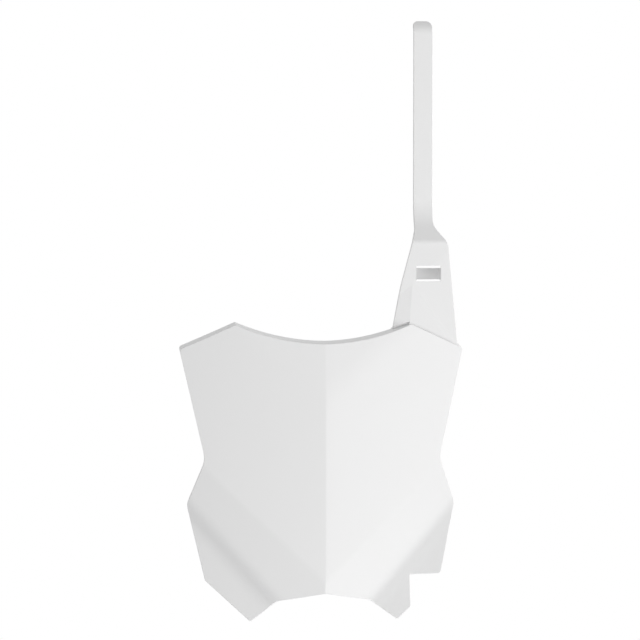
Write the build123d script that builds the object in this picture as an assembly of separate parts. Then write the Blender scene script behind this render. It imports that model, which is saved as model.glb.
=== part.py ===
from build123d import *
import math
import os

# Racing number board for the front of an off-road motorbike: one moulded shell in white plastic.
# Millimetres. +Z runs up the ridge, the front faces -Y, +X is to the right of someone facing the board.
# Origin: midway between the two rear pegs, in the plane of their shoulders.

# Shell
wall = 2.4
lip_wall = 2.2
lip_depth = 11.0
lip_return = 5.0
draw_tilt_deg = 11.0
edge_round = 0.7

# Main faces: two gentle arcs in plan that meet at an upright ridge
ridge_ahead_of_shoulders = 22.0
face_half_width = 117.5
main_ridge_deg = 9.0
main_edge_deg = 20.0
ridge_blend = 2.2

# Hip: near the top edge the ridge leans back and the faces flatten
hip_start_z = 119.5
hip_lean_deg = 6.0
hip_ridge_deg = 4.0
hip_edge_deg = 15.4
hip_blend = 12.0

# Facets: below folds that climb from the ridge to the waist, the faces lean back
fold_z = -34.4
fold_climb_deg = 43.6
facet_lean_deg = 11.0
fold_blend = 4.0

# Wings: below creases that climb outwards, the lower corners flare forward
crease_z = -94.9
crease_climb_deg = 47.7
wing_flare_deg = 21.5
crease_blend = 10.0

# Outline, seen along the draw direction: half widths and heights
corner_x, corner_z = 119.0, 150.0
peak_x, peak_z = 73.4, 173.6
arch_z = 160.2
waist_x, waist_z = 98.2, 60.0
bulge_x, bulge_z = 112.9, 18.7
outer_foot_x, outer_foot_z = 98.6, -40.7
tip_x, tip_z = 61.6, -72.9
inner_foot_x, inner_foot_z = 38.5, -57.0
apron_z = -46.2
corner_round = 3.0
peak_round = 2.0
waist_round = 20.0
bulge_round = 14.0
foot_round = 1.0
tip_round = 1.5
inner_foot_round = 11.0
apron_round = 12.0

# Hose notch in the right wing
notch_x, notch_z = 73.0, -37.9
notch_inner_round = 1.0
notch_outer_round = 3.5

# Strap, side view: a panel, a step back, an upright run and a curled tip
strap_wall = 2.4
panel_set_back = 21.5
bend_z = 245.2
bend_drop = 6.2
step_back = 13.7
step_rise = 22.0
curl_z = 426.0
curl_back = 8.2
curl_rise = 3.9
bend_round = 7.0
step_round = 41.5
curl_round = 12.0

# Strap, front view: a panel that narrows to a long tongue
strap_x = 85.7
strap_width = 16.0
panel_foot_z = 155.0
panel_left_x, panel_right_x = 53.8, 114.6
knee_x = 65.4
shoulder_x = 105.0
shoulder_drop = 1.2
neck_rise = 13.3
left_rise = 10.1
knee_round = 60.0
left_round = 10.0
neck_round = 12.0
shoulder_round = 14.0
strap_tip_round = 5.5
strap_edge_round = 0.8

# Folds of the panel: ramp and right side run down to the right top edge, left side undercut above the lip
crest_x, crest_z = 75.0, 209.4
ramp_start_x, ramp_end_x = 71.8, 112.0
ramp_ledge = 1.0
left_turn_deg = 7.5
undercut_height = 1.6
undercut_climb_deg = 19.0
undercut_slope_deg = 55.0

# Window in the panel and the keeper loop behind it
window_x, window_z = 88.7, 218.5
window_width = 21.0
window_height = 13.0
window_round = 1.0
keeper_z = 218.1
keeper_gap = 11.0
keeper_wall = 2.2
keeper_height = 9.5
keeper_round = 3.0

# Rear pegs
peg_spacing = 58.0
peg_radius = 4.0
peg_length = 14.0
peg_chamfer = 1.2
boss_radius = 6.5
gusset_wall = 1.8
gusset_reach = 9.0
gusset_drop = 4.0
gusset_slope_deg = 60.0

# Reach of the skin and of the cutters beyond the board
skin_columns = 61
skin_rows = 71
spread = 8.0
reach = 120.0
span = 1000.0

ridge_y = -ridge_ahead_of_shoulders
panel_y = ridge_y + panel_set_back
strap_y = panel_y + step_back
panel_top_z = bend_z - bend_drop
draw = Vector(0, 1, math.tan(math.radians(draw_tilt_deg)))
front_plane = Plane((0, ridge_y, 0), x_dir=(1, 0, 0), z_dir=(0, -1, 0))


def slope(degrees):
    return math.tan(math.radians(degrees))


def plan_depth(x, ridge_deg, edge_deg):
    """How far an arc-shaped face has fallen back at a distance x from its ridge."""
    start = math.sin(math.radians(ridge_deg))
    radius = face_half_width / (math.sin(math.radians(edge_deg)) - start)
    here = start + x / radius
    return radius * (math.sqrt(1 - start**2) - math.sqrt(1 - here**2))


def blended_max(a, b, width):
    """The larger of two depths, with a parabola joining them where they differ by less than width."""
    return max(a, b) + max(0, width - abs(a - b)) ** 2 / (4 * width)


def front_depth(x, z):
    """Depth of the front behind the ridge line: hip and facets cut back, wings come forward."""
    side = math.hypot(x, ridge_blend) - ridge_blend
    hip_lean = slope(hip_lean_deg)
    facet_lean = slope(facet_lean_deg)
    wing_flare = slope(wing_flare_deg)
    main = plan_depth(side, main_ridge_deg, main_edge_deg)
    hip = plan_depth(side, hip_ridge_deg, hip_edge_deg) + hip_lean * (z - hip_start_z)
    facet = main + facet_lean * (fold_z + slope(fold_climb_deg) * side - z)
    wing = facet - wing_flare * (crease_z + slope(crease_climb_deg) * side - z)
    body = blended_max(main, hip, hip_lean * hip_blend)
    body = blended_max(body, facet, facet_lean * fold_blend)
    return -blended_max(-body, -wing, wing_flare * crease_blend)


def front_point(x, sketch_z):
    """The point of the front that an outline point falls on when carried along the draw direction."""
    z = sketch_z
    for _ in range(20):
        z = sketch_z + draw.Z * front_depth(x, z)
    return Vector(x, ridge_y + front_depth(x, z), z)


def front_skin():
    """The front as one smooth surface, its columns closest together at the ridge."""
    half = corner_x + spread
    low = tip_z - spread
    high = peak_z + draw.Z * front_depth(corner_x, corner_z) + spread
    columns = [2 * i / (skin_columns - 1) - 1 for i in range(skin_columns)]
    xs = [half * math.copysign(abs(c) ** 1.4, c) for c in columns]
    zs = [low + (high - low) * i / (skin_rows - 1) for i in range(skin_rows)]
    grid = [[Vector(x, ridge_y + front_depth(x, z), z) for z in zs] for x in xs]
    return Face.make_surface_from_array_of_points(grid, tol=0.02, min_deg=3, max_deg=3)


def rounded(sketch, corners):
    """Round the sketch's corner nearest to each (x, z, radius)."""
    for x, z, radius in corners:
        sketch = fillet(sketch.vertices().sort_by_distance((x, z, 0))[0], radius)
    return sketch


def board_outline():
    right = [
        (peak_x, peak_z),
        (corner_x, corner_z),
        (waist_x, waist_z),
        (bulge_x, bulge_z),
        (outer_foot_x, outer_foot_z),
        (tip_x, tip_z),
        (inner_foot_x, inner_foot_z),
    ]
    left = [(-x, z) for x, z in reversed(right)]
    sides = Polyline(*right, (0, apron_z), *left)
    arch = ThreePointArc(left[-1], (0, arch_z), right[0])
    notch_width = bulge_x - notch_x + spread
    notch_height = notch_z - tip_z + spread
    notch = Rectangle(notch_width, notch_height, align=(Align.MIN, Align.MAX))
    sheet = make_face(Curve() + [sides, arch]) - Pos(notch_x, notch_z) * notch
    both_sides = [
        (peak_x, peak_z, peak_round),
        (corner_x, corner_z, corner_round),
        (waist_x, waist_z, waist_round),
        (bulge_x, bulge_z, bulge_round),
        (tip_x, tip_z, tip_round),
        (inner_foot_x, inner_foot_z, inner_foot_round),
    ]
    corners = [(side * x, z, r) for x, z, r in both_sides for side in (1, -1)]
    corners += [
        (-outer_foot_x, outer_foot_z, foot_round),
        (0, apron_z, apron_round),
        (notch_x, notch_z, notch_inner_round),
        (outer_foot_x, notch_z, notch_outer_round),
    ]
    return rounded(sheet, corners)


def along_draw(sketch):
    """A sketch of the front view carried through the board along the draw direction."""
    start = Pos(draw * -reach) * (front_plane * sketch)
    return extrude(start, amount=2 * reach * draw.length, dir=draw)


def lip_opening(outline):
    """What the lip leaves open, seen from the front: the lip follows the top edges down past the corners."""
    inside = offset(outline, -lip_wall, kind=Kind.INTERSECTION)
    below_lip = Rectangle(4 * corner_x, 2 * reach, align=(Align.CENTER, Align.MAX))
    return inside + Pos(0, corner_z - lip_return) * below_lip


def behind(face, setback=0):
    """Everything behind a face, or behind where it lies once moved back."""
    return Solid.extrude(face.moved(Pos(0, setback, 0)), Vector(0, reach, 0))


def ahead(face):
    """Everything in front of a face."""
    return Solid.extrude(face, Vector(0, -reach, 0))


def block(x=(-span, span), y=(-span, span), z=(-span, span)):
    """A block between limits, far-reaching where none are given."""
    sizes = [high - low for low, high in (x, y, z)]
    return Pos(sum(x) / 2, sum(y) / 2, sum(z) / 2) * Box(*sizes)


def board_shell(skin, outline, opening):
    """Sheet of even wall behind the skin, with a lip turned back along the top edges."""
    blank = Solid.extrude(skin, Vector(0, lip_depth, 0)) & along_draw(outline)
    shell = blank - (behind(skin, wall) & along_draw(opening))
    front = shell.faces().filter_by(GeomType.BSPLINE).sort_by(Axis.Y)[0]
    return fillet(front.edges(), edge_round)


def strap_outline():
    """Front view of the strap: a panel that narrows to a tongue."""
    left = strap_x - strap_width / 2
    right = strap_x + strap_width / 2
    tip = curl_z + curl_rise
    return Plane.XZ * FilletPolyline(
        (panel_left_x, panel_foot_z),
        (panel_right_x, panel_foot_z),
        (shoulder_x, bend_z - shoulder_drop),
        (right, bend_z + neck_rise),
        (right, tip),
        (left, tip),
        (left, bend_z + left_rise),
        (knee_x, crest_z),
        radius=(0, 0, shoulder_round, neck_round, strap_tip_round, strap_tip_round, left_round, knee_round),
        close=True,
    )


def bent_sheet():
    """The strap above the panel: bend, step, upright run and curled tip."""
    side = FilletPolyline(
        (panel_y, panel_top_z),
        (panel_y, bend_z),
        (strap_y, bend_z + step_rise),
        (strap_y, curl_z),
        (strap_y + curl_back, curl_z + curl_rise),
        radius=(bend_round, step_round, curl_round),
    )
    section = make_face(offset(side, strap_wall, side=Side.RIGHT))
    return extrude(Plane.YZ * section, amount=2 * reach)


def right_slant_point(x):
    """Where the ramp starts: on the line of the right top edge, a ledge behind the front."""
    z = peak_z + (corner_z - peak_z) * (x - peak_x) / (corner_x - peak_x)
    return front_point(x, z) + draw * ramp_ledge


def panel_top_point(low, high):
    """Where a straight side of the panel, through two points of the front view, reaches the panel's top."""
    up = (panel_top_z - low[1]) / (high[1] - low[1])
    return Vector(low[0] + up * (high[0] - low[0]), panel_y, panel_top_z)


def facet(apex, *ends, corners=3):
    """A triangle or parallelogram spread from an apex to a little past two points."""
    across, down = [(end - apex) * 1.1 for end in ends]
    outline = [apex, apex + across, apex + across + down, apex + down]
    if corners == 3:
        outline.pop(2)
    return Face(Wire.make_polygon(outline))


def point_on(face, x, z):
    """The point of a flat face's plane at a place in the front view."""
    normal = face.normal_at()
    start = face.center()
    return Vector(x, start.Y - (normal.X * (x - start.X) + normal.Z * (z - start.Z)) / normal.Y, z)


def panel_ramp():
    """Face that rises from the right top edge to the panel's crest."""
    crest = Vector(crest_x, panel_y, crest_z)
    return facet(crest, right_slant_point(ramp_start_x), right_slant_point(ramp_end_x))


def panel_left_side():
    """Face that turns back from the ramp's left edge to the panel's left rim."""
    crest = Vector(crest_x, panel_y, crest_z)
    ramp_start = right_slant_point(ramp_start_x)
    turn = slope(left_turn_deg)
    lean = (panel_y - ramp_start.Y + turn * (crest_x - ramp_start.X)) / (crest_z - ramp_start.Z)
    far = corner_x / 2
    return facet(crest, ramp_start, crest - Vector(far, 0, far * turn / lean), corners=4)


def panel_undercut(left_side):
    """Face that slopes back under the left side, down to the lip."""
    crest = Vector(crest_x, panel_y, crest_z)
    ramp_start = right_slant_point(ramp_start_x)
    right = ramp_start + (crest - ramp_start) * (undercut_height / (crest_z - ramp_start.Z))
    left = point_on(left_side, right.X - reach, right.Z - reach * slope(undercut_climb_deg))
    under = right + Vector(0, slope(undercut_slope_deg), -1) * (undercut_height + lip_wall)
    return facet(right, left, under, corners=4)


def panel_front(ramp):
    """Everything behind the panel's front: flat at the top, folded below."""
    crest = Vector(crest_x, panel_y, crest_z)
    right_top = panel_top_point((panel_right_x, panel_foot_z), (shoulder_x, bend_z - shoulder_drop))
    right_side = facet(crest, right_slant_point(ramp_end_x), right_top)
    left_side = panel_left_side()
    front = block(y=(panel_y, panel_y + reach))
    for face in (left_side, right_side, ramp):
        front = front - ahead(face) + behind(face)
    return front - ahead(panel_undercut(left_side))


def folded_panel(front, ramp):
    """Panel sheet of even wall, with a web behind the fold between the ramp and the left side."""
    web = behind(ramp) - Pos(strap_wall, 0, 0) * behind(ramp)
    web &= block(y=(-span, panel_y + strap_wall))
    sheet = front - Pos(0, strap_wall, 0) * front + web
    return sheet & block(z=(-span, panel_top_z))


def rounded_rim(sheet, rim):
    """Round the front edges of a sheet that lie on the rim of its front view."""
    def on_rim(edge):
        middle = edge @ 0.5
        return rim.distance_to(Vector(middle.X, 0, middle.Z)) < 0.01

    front = sheet.faces().filter_by(lambda face: face.normal_at().Y < -0.1)
    return fillet(front.edges().filter_by(on_rim), strap_edge_round)


def strap_foot(skin, band, view):
    """Shelf under the panel: left of the peak the lip runs on back to the panel's rear."""
    deep_lip = behind(skin, wall / 2) & along_draw(band)
    rear = panel_y + 2 * strap_wall
    under_panel = block(x=(-span, peak_x), y=(-span, rear))
    return deep_lip & under_panel & view


def keeper():
    """Loop behind the window: a flat bridge on two short legs."""
    width = window_width + 2 * keeper_wall
    loop = Rectangle(width, keeper_gap + keeper_wall, align=(Align.CENTER, Align.MIN))
    loop = fillet(loop.vertices().group_by(Axis.Y)[-1], keeper_round)
    loop += Rectangle(width, strap_wall, align=(Align.CENTER, Align.MAX))
    loop -= Rectangle(window_width, 2 * keeper_gap)
    return Pos(window_x, panel_y + strap_wall, keeper_z) * extrude(loop, amount=keeper_height / 2, both=True)


def pegs(skin):
    """Two shouldered pegs on bosses that run forward into the shell, each with a gusset on both sides."""
    pin = Cylinder(peg_radius, peg_length, align=(Align.CENTER, Align.CENTER, Align.MIN))
    pin = chamfer(pin.edges().group_by(Axis.Z)[-1], peg_chamfer)
    boss = Cylinder(boss_radius, ridge_ahead_of_shoulders, align=(Align.CENTER, Align.CENTER, Align.MAX))
    gusset_width = 2 * (boss_radius + gusset_reach)
    gusset_height = ridge_ahead_of_shoulders - gusset_drop
    gusset = Trapezoid(gusset_width, gusset_height, gusset_slope_deg, align=(Align.CENTER, Align.MAX))
    gusset = Pos(0, -gusset_drop, 0) * extrude(gusset, amount=gusset_wall / 2, both=True)
    peg = Rot(-90, 0, 0) * (pin + boss) + gusset
    pair = [Pos(side * peg_spacing / 2, 0, 0) * peg for side in (-1, 1)]
    return [one & behind(skin, wall / 2) for one in pair]


def number_board():
    skin = front_skin()
    outline = board_outline()
    opening = lip_opening(outline)
    rim = strap_outline()
    view = extrude(make_face(rim), amount=reach, both=True)
    under_lip = along_draw(offset(outline, -lip_wall / 2, kind=Kind.INTERSECTION))
    ramp = panel_ramp()
    front = panel_front(ramp)
    panel = rounded_rim((folded_panel(front, ramp) & view) - under_lip, rim)
    tongue = rounded_rim(bent_sheet() & view, rim)
    window = fillet(Rectangle(window_width, window_height).vertices(), window_round)
    window = extrude(Plane.XZ * Pos(window_x, window_z) * window, amount=reach, both=True)
    board = board_shell(skin, outline, opening) + strap_foot(skin, outline - opening, view)
    loop = keeper() & Pos(0, strap_wall / 2, 0) * front
    board = board + panel + tongue - window + loop
    for peg in pegs(skin):
        board += peg
    return board


board = number_board()
board.label = "number_board"
os.makedirs("parts", exist_ok=True)
export_step(board, "parts/number_board.step")
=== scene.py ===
import math
import bpy
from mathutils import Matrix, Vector

# Racing number board: one white moulding with a strap.
# Metres. +Z runs up the ridge and the front faces -Y.

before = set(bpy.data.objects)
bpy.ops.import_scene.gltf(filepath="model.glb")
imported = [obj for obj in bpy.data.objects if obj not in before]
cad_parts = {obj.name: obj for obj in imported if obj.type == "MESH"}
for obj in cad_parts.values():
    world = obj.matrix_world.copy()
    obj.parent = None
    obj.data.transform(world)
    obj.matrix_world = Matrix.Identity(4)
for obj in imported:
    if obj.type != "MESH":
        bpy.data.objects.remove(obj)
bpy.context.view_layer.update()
scene = bpy.context.scene
scene.view_settings.view_transform = "Standard"

# Camera: yaw and elevation of the photograph's view, and the point at the middle of its frame
VIEW_YAW_DEG = -6.5
VIEW_ELEVATION_DEG = 2.5
VIEW_DISTANCE = 2.221
VIEW_TARGET = Vector((-0.002, 0.005, 0.180))
VIEW_LENS_MM = 150.0
SENSOR_WIDTH_MM = 36.0

# Studio: light from all round, lamps at one distance, and a floor that fades to white between two radii
WHITE = (1.0, 1.0, 1.0, 1.0)
WORLD_LIGHT = 0.483
LAMP_DISTANCE = 2.2
FLOOR_Z = -0.36
FLOOR_SIZE = 30.0
FLOOR_GREY = (0.86, 0.86, 0.86, 1.0)
FLOOR_ROUGHNESS = 0.9
FLOOR_FADE = (0.55, 1.3)

# Plastic: limits of its white and of its roughness, with the waves to the metre in which each changes
PLASTIC_WHITES = ((0.865, 0.865, 0.865, 1.0), (0.875, 0.875, 0.875, 1.0))
PLASTIC_ROUGHNESS = (0.42, 0.50)
PLASTIC_IOR = 1.49
TONE_SCALE = 25.0
GLOSS_SCALE = 60.0

# Moulded grain of the plastic: strength, depth of a bump and bumps to the metre
GRAIN_STRENGTH, GRAIN_DEPTH, GRAIN_SCALE = 0.05, 0.00005, 1200.0

# Form of the skin, as depths behind the ridge line: two arcs in plan, a hip above, facets and wings below
RIDGE_Y = -0.022
WALL = 0.0024
FACE_HALF_WIDTH = 0.1175
RIDGE_BLEND = 0.0022
MAIN_ARC_DEG = (9.0, 20.0)
HIP_ARC_DEG = (4.0, 15.4)
HIP_Z, HIP_LEAN_DEG, HIP_BLEND = 0.1195, 6.0, 0.012
FOLD_Z, FOLD_CLIMB_DEG, FACET_LEAN_DEG, FOLD_BLEND = -0.0344, 43.6, 11.0, 0.004
CREASE_Z, CREASE_CLIMB_DEG, WING_FLARE_DEG, CREASE_BLEND = -0.0949, 47.7, 21.5, 0.010

# Fine form, too shallow for the solid: a crisper ridge, arcs that start steeper there and so curve less,
# and wings that turn up before they turn forward
RIDGE_CRISP = 0.0009
ARC_STEEPER_DEG = 2.5
WING_STEEPER_DEG = 14.0
WING_TURNS_UP = (-0.015, 0.008)
WING_TURNS_FORWARD = (-0.004, 0.026)

# Strap: heights where its folded panel starts and ends, and where it bends back, steps upright and curls
PANEL_Z = (0.150, 0.2395)
PANEL_LEFT_X = 0.050
PEAK_X, PEAK_Z = 0.0734, 0.17695
TOP_EDGE_SLOPES = (0.36, -0.455)
PANEL_FACING = (0.0, -1.0, 0.1)
PANEL_SOFTNESS = 0.8
BEND_Z, BEND_RADIUS = 0.2432, 0.0070
STEP_END_Z, STEP_RADIUS = 0.27906, 0.0415
STEP_LEAN_DEG = 31.9
CURL_Z, CURL_RADIUS, CURL_DEG = 0.41841, 0.0120, 64.6

# How near a point lies to the skin, and how well a face agrees in direction, to count as skin, panel or sheet
SKIN_TOLERANCE = 0.0008
SKIN_TURN_ALLOWED = 0.12
PANEL_AGREEMENT = 0.75
SHEET_AGREEMENT = 0.9


class Socket:
    """An output of a node. Values add, multiply and divide like numbers, and each step adds its Math node."""

    def __init__(self, output):
        self.output = output
        self.tree = output.id_data

    @staticmethod
    def node(tree, kind, sockets=None, **settings):
        """Adds a node: its settings first, then the value or link of each socket."""
        made = tree.nodes.new(kind)
        for name, value in settings.items():
            setattr(made, name, value)
        feed(made, sockets or {})
        return made

    def maths(self, operation, *others, clamp=False):
        """The Math node's result for this value, followed by the others."""
        sockets = dict(enumerate((self, *others)))
        made = Socket.node(self.tree, "ShaderNodeMath", sockets, operation=operation, use_clamp=clamp)
        return Socket(made.outputs[0])

    def vector(self, operation, *others, output="Vector"):
        """The Vector Math node's result for this vector, followed by the others."""
        sockets = dict(enumerate((self, *others)))
        made = Socket.node(self.tree, "ShaderNodeVectorMath", sockets, operation=operation)
        return Socket(made.outputs[output])

    def reflected(self, operation, first):
        """The Math node's result for a plain number, followed by this value."""
        made = Socket.node(self.tree, "ShaderNodeMath", {0: first, 1: self}, operation=operation)
        return Socket(made.outputs[0])

    def __add__(self, other):
        return self.maths("ADD", other)

    def __sub__(self, other):
        return self.maths("SUBTRACT", other)

    def __rsub__(self, other):
        return self.reflected("SUBTRACT", other)

    def __mul__(self, other):
        return self.maths("MULTIPLY", other)

    def __truediv__(self, other):
        return self.maths("DIVIDE", other)

    def __rtruediv__(self, other):
        return self.reflected("DIVIDE", other)

    __radd__ = __add__
    __rmul__ = __mul__

    def ramp(self, low, high):
        """0 below low, 1 above high, smooth between."""
        sockets = {0: self, 1: low, 2: high, 3: 0.0, 4: 1.0}
        made = Socket.node(self.tree, "ShaderNodeMapRange", sockets, interpolation_type="SMOOTHSTEP")
        return Socket(made.outputs[0])


def feed(node, sockets):
    """Fills a node's sockets, given by name or place: a Socket is linked and a plain value is set."""
    for place, value in sockets.items():
        if isinstance(value, Socket):
            node.id_data.links.new(value.output, node.inputs[place])
        else:
            node.inputs[place].default_value = value


def new_material(name):
    """A material, its shader, and the place of a point on the object."""
    material = bpy.data.materials.new(name)
    material.use_nodes = True
    tree = material.node_tree
    coordinates = Socket.node(tree, "ShaderNodeTexCoord")
    return material, tree.nodes["Principled BSDF"], Socket(coordinates.outputs["Object"])


def noise(place, scale):
    """Soft random pattern from 0 to 1; scale is in waves per metre."""
    made = Socket.node(place.tree, "ShaderNodeTexNoise", {"Vector": place, "Scale": scale})
    return Socket(made.outputs["Fac"])


def slope(degrees):
    """Rise for each unit along, at an angle."""
    return math.tan(math.radians(degrees))


def sine(degrees):
    """Sine of an angle in degrees."""
    return math.sin(math.radians(degrees))


def mixed(a, b, share):
    """a where share is 0 and b where it is 1."""
    return a + (b - a) * share


def direction(x, y, z):
    """A vector from its three parts."""
    made = Socket.node(z.tree, "ShaderNodeCombineXYZ", {0: x, 1: y, 2: z})
    return Socket(made.outputs[0])


def chosen_normal(usual, special, share):
    """The special normal where share is 1 and the usual one where it is 0."""
    made = Socket.node(usual.tree, "ShaderNodeMix", {0: share, 4: usual, 5: special}, data_type="VECTOR")
    return Socket(made.outputs[1])


class Depth:
    """A depth behind the ridge line, with its slopes outwards from the ridge and upwards."""

    def __init__(self, value, outward, upward):
        self.value = value
        self.outward = outward
        self.upward = upward


def face_arc(side, ridge_deg, edge_deg):
    """Circular arc in plan that turns from ridge_deg at the ridge to edge_deg at the edge of the face."""
    start = sine(ridge_deg)
    radius = FACE_HALF_WIDTH / (sine(edge_deg) - start)
    turned = side * (1 / radius) + start
    level = (1 - turned * turned).maths("SQRT")
    return Depth((math.cos(math.radians(ridge_deg)) - level) * radius, turned / level, 0.0)


def past_line(side, z, ridge_z, climb_deg):
    """Height by which a point lies below a line that climbs outwards from ridge_z at the ridge."""
    return side * slope(climb_deg) + ridge_z - z


def leaned(base, below, climb_deg, lean):
    """A depth that leans back by lean for each unit below a climbing line."""
    return Depth(base.value + below * lean, base.outward + slope(climb_deg) * lean, base.upward - lean)


def joined(a, b, width):
    """The larger of two depths, or the smaller for a negative width, with a parabola between them."""
    share = ((b.value - a.value) * (0.5 / width)).maths("ADD", 0.5, clamp=True)
    value = mixed(a.value, b.value, share) + share * (1 - share) * width
    return Depth(value, mixed(a.outward, b.outward, share), mixed(a.upward, b.upward, share))


def skin_form(x, z):
    """Depth of the skin behind the ridge line, and the way its front faces.

    The depth is the face's arc, leaned back above the hip and below the folds, and forward again past the
    creases. The facing comes from the slopes of that depth, with the fine form added.
    """
    side = (x * x + RIDGE_BLEND**2).maths("SQRT") - RIDGE_BLEND
    hip_lean, facet_lean, wing_flare = slope(HIP_LEAN_DEG), slope(FACET_LEAN_DEG), slope(WING_FLARE_DEG)
    main = face_arc(side, *MAIN_ARC_DEG)
    hip = leaned(face_arc(side, *HIP_ARC_DEG), past_line(side, z, HIP_Z, 0), 0, -hip_lean)
    facet = leaned(main, past_line(side, z, FOLD_Z, FOLD_CLIMB_DEG), FOLD_CLIMB_DEG, facet_lean)
    past_crease = past_line(side, z, CREASE_Z, CREASE_CLIMB_DEG)
    wing = leaned(facet, past_crease, CREASE_CLIMB_DEG, -wing_flare)
    body = joined(main, hip, hip_lean * HIP_BLEND)
    body = joined(body, facet, facet_lean * FOLD_BLEND)
    skin = joined(body, wing, -wing_flare * CREASE_BLEND)

    outward = mixed(body.outward, wing.outward, past_crease.ramp(*WING_TURNS_FORWARD))
    outward = outward + (1 - side * (1 / FACE_HALF_WIDTH)) * slope(ARC_STEEPER_DEG)
    steeper = wing.upward + slope(WING_STEEPER_DEG)
    upward = mixed(body.upward, steeper, past_crease.ramp(*WING_TURNS_UP))
    across = outward * (x / (x * x + RIDGE_CRISP**2).maths("SQRT"))
    return skin.value, direction(across, -1.0, upward).vector("NORMALIZE")


def skin_mask(x, y, z, depth, agree):
    """1 on the front and back of the skin, and 0 on its edges, the lip, the pegs and the strap."""
    behind = y - RIDGE_Y - depth
    front, back = [behind.maths("COMPARE", wall, SKIN_TOLERANCE) for wall in (0.0, WALL)]
    faces_along = agree.maths("ABSOLUTE").maths("COMPARE", 1.0, SKIN_TURN_ALLOWED)
    left_edge, right_edge = [(x - PEAK_X) * rise + PEAK_Z for rise in TOP_EDGE_SLOPES]
    above_edge = z.maths("GREATER_THAN", left_edge.maths("MINIMUM", right_edge))
    on_strap = above_edge * x.maths("GREATER_THAN", PANEL_LEFT_X)
    return (front + back) * faces_along * (1 - on_strap)


def strap_normal(x, z, surface, flat):
    """Facing of the strap: softened folds on the panel, and above it the lean of the bent sheet.

    The sine of the lean grows with height round the bend, falls off round the step and grows again in the
    curl.
    """
    softened = flat.vector("ADD", [PANEL_SOFTNESS * part for part in PANEL_FACING]).vector("NORMALIZE")
    forward = flat.vector("DOT_PRODUCT", PANEL_FACING, output="Value")
    on_panel = forward.maths("GREATER_THAN", PANEL_AGREEMENT) * x.maths("GREATER_THAN", PANEL_LEFT_X)
    on_panel = on_panel * z.maths("GREATER_THAN", PANEL_Z[0]) * z.maths("LESS_THAN", PANEL_Z[1])
    normal = chosen_normal(surface, softened, on_panel)

    bend = ((z - BEND_Z) * (1 / BEND_RADIUS)).maths("MINIMUM", (STEP_END_Z - z) * (1 / STEP_RADIUS))
    bend = bend.maths("MINIMUM", sine(STEP_LEAN_DEG)).maths("MAXIMUM", 0.0)
    curl = ((z - CURL_Z) * (1 / CURL_RADIUS)).maths("MAXIMUM", 0.0)
    lean = bend + curl.maths("MINIMUM", sine(CURL_DEG))
    level = (1 - lean * lean).maths("SQRT")
    leaning = direction(0.0, level * -1.0, lean)
    agree = flat.vector("DOT_PRODUCT", leaning, output="Value")
    on_sheet = z.maths("GREATER_THAN", PANEL_Z[1]) * agree.maths("GREATER_THAN", SHEET_AGREEMENT)
    return chosen_normal(normal, leaning, on_sheet)


def board_normal(place):
    """Facing of the skin's front, turned round on its back; elsewhere that of the strap or the surface."""
    parts = Socket.node(place.tree, "ShaderNodeSeparateXYZ", {0: place})
    x, y, z = [Socket(output) for output in parts.outputs]
    geometry = Socket.node(place.tree, "ShaderNodeNewGeometry")
    surface = Socket(geometry.outputs["Normal"])
    flat = Socket(geometry.outputs["True Normal"])

    depth, facing = skin_form(x, z)
    agree = flat.vector("DOT_PRODUCT", facing, output="Value")
    sockets = {"Vector": facing, "Scale": agree.maths("SIGN")}
    turned = Socket.node(place.tree, "ShaderNodeVectorMath", sockets, operation="SCALE")
    usual = strap_normal(x, z, surface, flat)
    return chosen_normal(usual, Socket(turned.outputs["Vector"]), skin_mask(x, y, z, depth, agree))


def white_plastic():
    """Satin white polypropylene: slight changes of tone and gloss, and a very fine moulded grain."""
    material, shader, place = new_material("white_plastic")
    light, lighter = PLASTIC_WHITES
    sockets = {0: noise(place, TONE_SCALE), 6: light, 7: lighter}
    colour = Socket.node(place.tree, "ShaderNodeMix", sockets, data_type="RGBA")
    sockets = {
        "Strength": GRAIN_STRENGTH,
        "Distance": GRAIN_DEPTH,
        "Height": noise(place, GRAIN_SCALE),
        "Normal": board_normal(place),
    }
    grain = Socket.node(place.tree, "ShaderNodeBump", sockets)
    sockets = {
        "Base Color": Socket(colour.outputs[2]),
        "Roughness": mixed(*PLASTIC_ROUGHNESS, noise(place, GLOSS_SCALE)),
        "IOR": PLASTIC_IOR,
        "Normal": Socket(grain.outputs[0]),
    }
    feed(shader, sockets)
    return material


def seen_rays(tree):
    """1 for rays that show the background: from the camera, mirrored or through a clear surface."""
    path = Socket.node(tree, "ShaderNodeLightPath")
    seen = Socket(path.outputs["Is Camera Ray"])
    for ray in ("Is Glossy Ray", "Is Transmission Ray"):
        seen = seen.maths("MAXIMUM", Socket(path.outputs[ray]))
    return seen


def floor_material():
    """Pale matt floor that takes the shadow near the board and fades to plain white further out."""
    material, shader, place = new_material("floor")
    tree = place.tree
    feed(shader, {"Base Color": FLOOR_GREY, "Roughness": FLOOR_ROUGHNESS})
    far = place.vector("LENGTH", output="Value").ramp(*FLOOR_FADE)
    white = Socket.node(tree, "ShaderNodeEmission", {"Color": WHITE})
    sockets = {
        0: seen_rays(tree) * far,
        1: Socket(shader.outputs["BSDF"]),
        2: Socket(white.outputs["Emission"]),
    }
    mix = Socket.node(tree, "ShaderNodeMixShader", sockets)
    feed(tree.nodes["Material Output"], {"Surface": Socket(mix.outputs["Shader"])})
    return material


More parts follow.
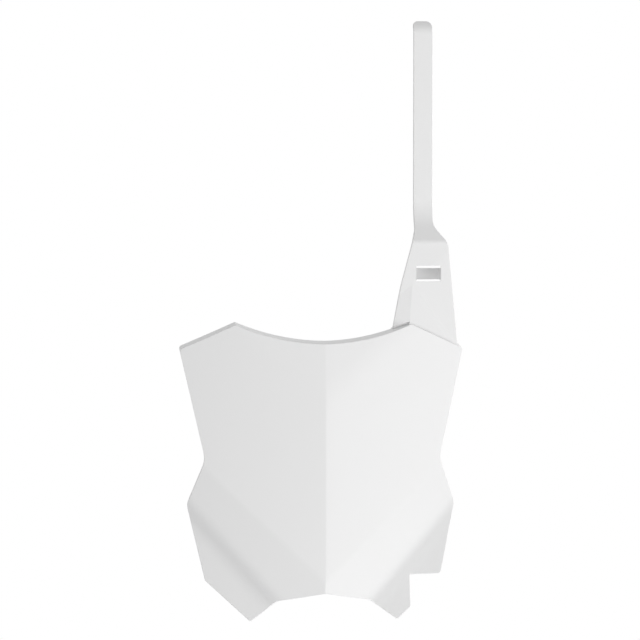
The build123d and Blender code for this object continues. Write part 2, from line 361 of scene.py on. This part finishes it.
def set_world():
    """Even light from all round; white where the camera looks past everything."""
    world = bpy.data.worlds.new("studio")
    world.use_nodes = True
    scene.world = world
    tree = world.node_tree
    strength = mixed(WORLD_LIGHT, 1.0, seen_rays(tree))
    feed(tree.nodes["Background"], {"Color": WHITE, "Strength": strength})


def place_facing(thing, yaw_deg, elevation_deg, distance):
    """Puts a thing at a distance from the middle of the view, facing that point; yaw 0 is in front."""
    yaw, elevation = math.radians(yaw_deg), math.radians(elevation_deg)
    level = math.cos(elevation)
    away = Vector((math.sin(yaw) * level, -math.cos(yaw) * level, math.sin(elevation)))
    thing.location = VIEW_TARGET + away * distance
    thing.rotation_euler = away.to_track_quat("Z", "Y").to_euler()


def add_lamp(name, yaw_deg, elevation_deg, size, watts):
    """A square soft light that faces the board and isn't seen itself."""
    lamp = bpy.data.lights.new(name, "AREA")
    lamp.size = size
    lamp.energy = watts
    thing = bpy.data.objects.new(name, lamp)
    thing.visible_camera = False
    scene.collection.objects.link(thing)
    place_facing(thing, yaw_deg, elevation_deg, LAMP_DISTANCE)


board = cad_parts["number_board"]
board.data.materials.clear()
board.data.materials.append(white_plastic())

bpy.ops.mesh.primitive_plane_add(size=FLOOR_SIZE, location=(0, 0, FLOOR_Z))
floor = bpy.context.object
floor.name = "floor"
floor.data.materials.append(floor_material())
floor.visible_shadow = False
floor.visible_diffuse = False

set_world()
add_lamp("left_above", yaw_deg=-20, elevation_deg=25, size=1.0, watts=5.5)
add_lamp("right", yaw_deg=50, elevation_deg=0, size=1.0, watts=10.3)
add_lamp("low", yaw_deg=20, elevation_deg=-50, size=1.0, watts=16.8)
add_lamp("rear_fill", yaw_deg=140, elevation_deg=10, size=1.4, watts=12)

camera = bpy.data.objects.new("camera", bpy.data.cameras.new("camera"))
camera.data.lens = VIEW_LENS_MM
camera.data.sensor_width = SENSOR_WIDTH_MM
scene.collection.objects.link(camera)
place_facing(camera, VIEW_YAW_DEG, VIEW_ELEVATION_DEG, VIEW_DISTANCE)
scene.camera = camera
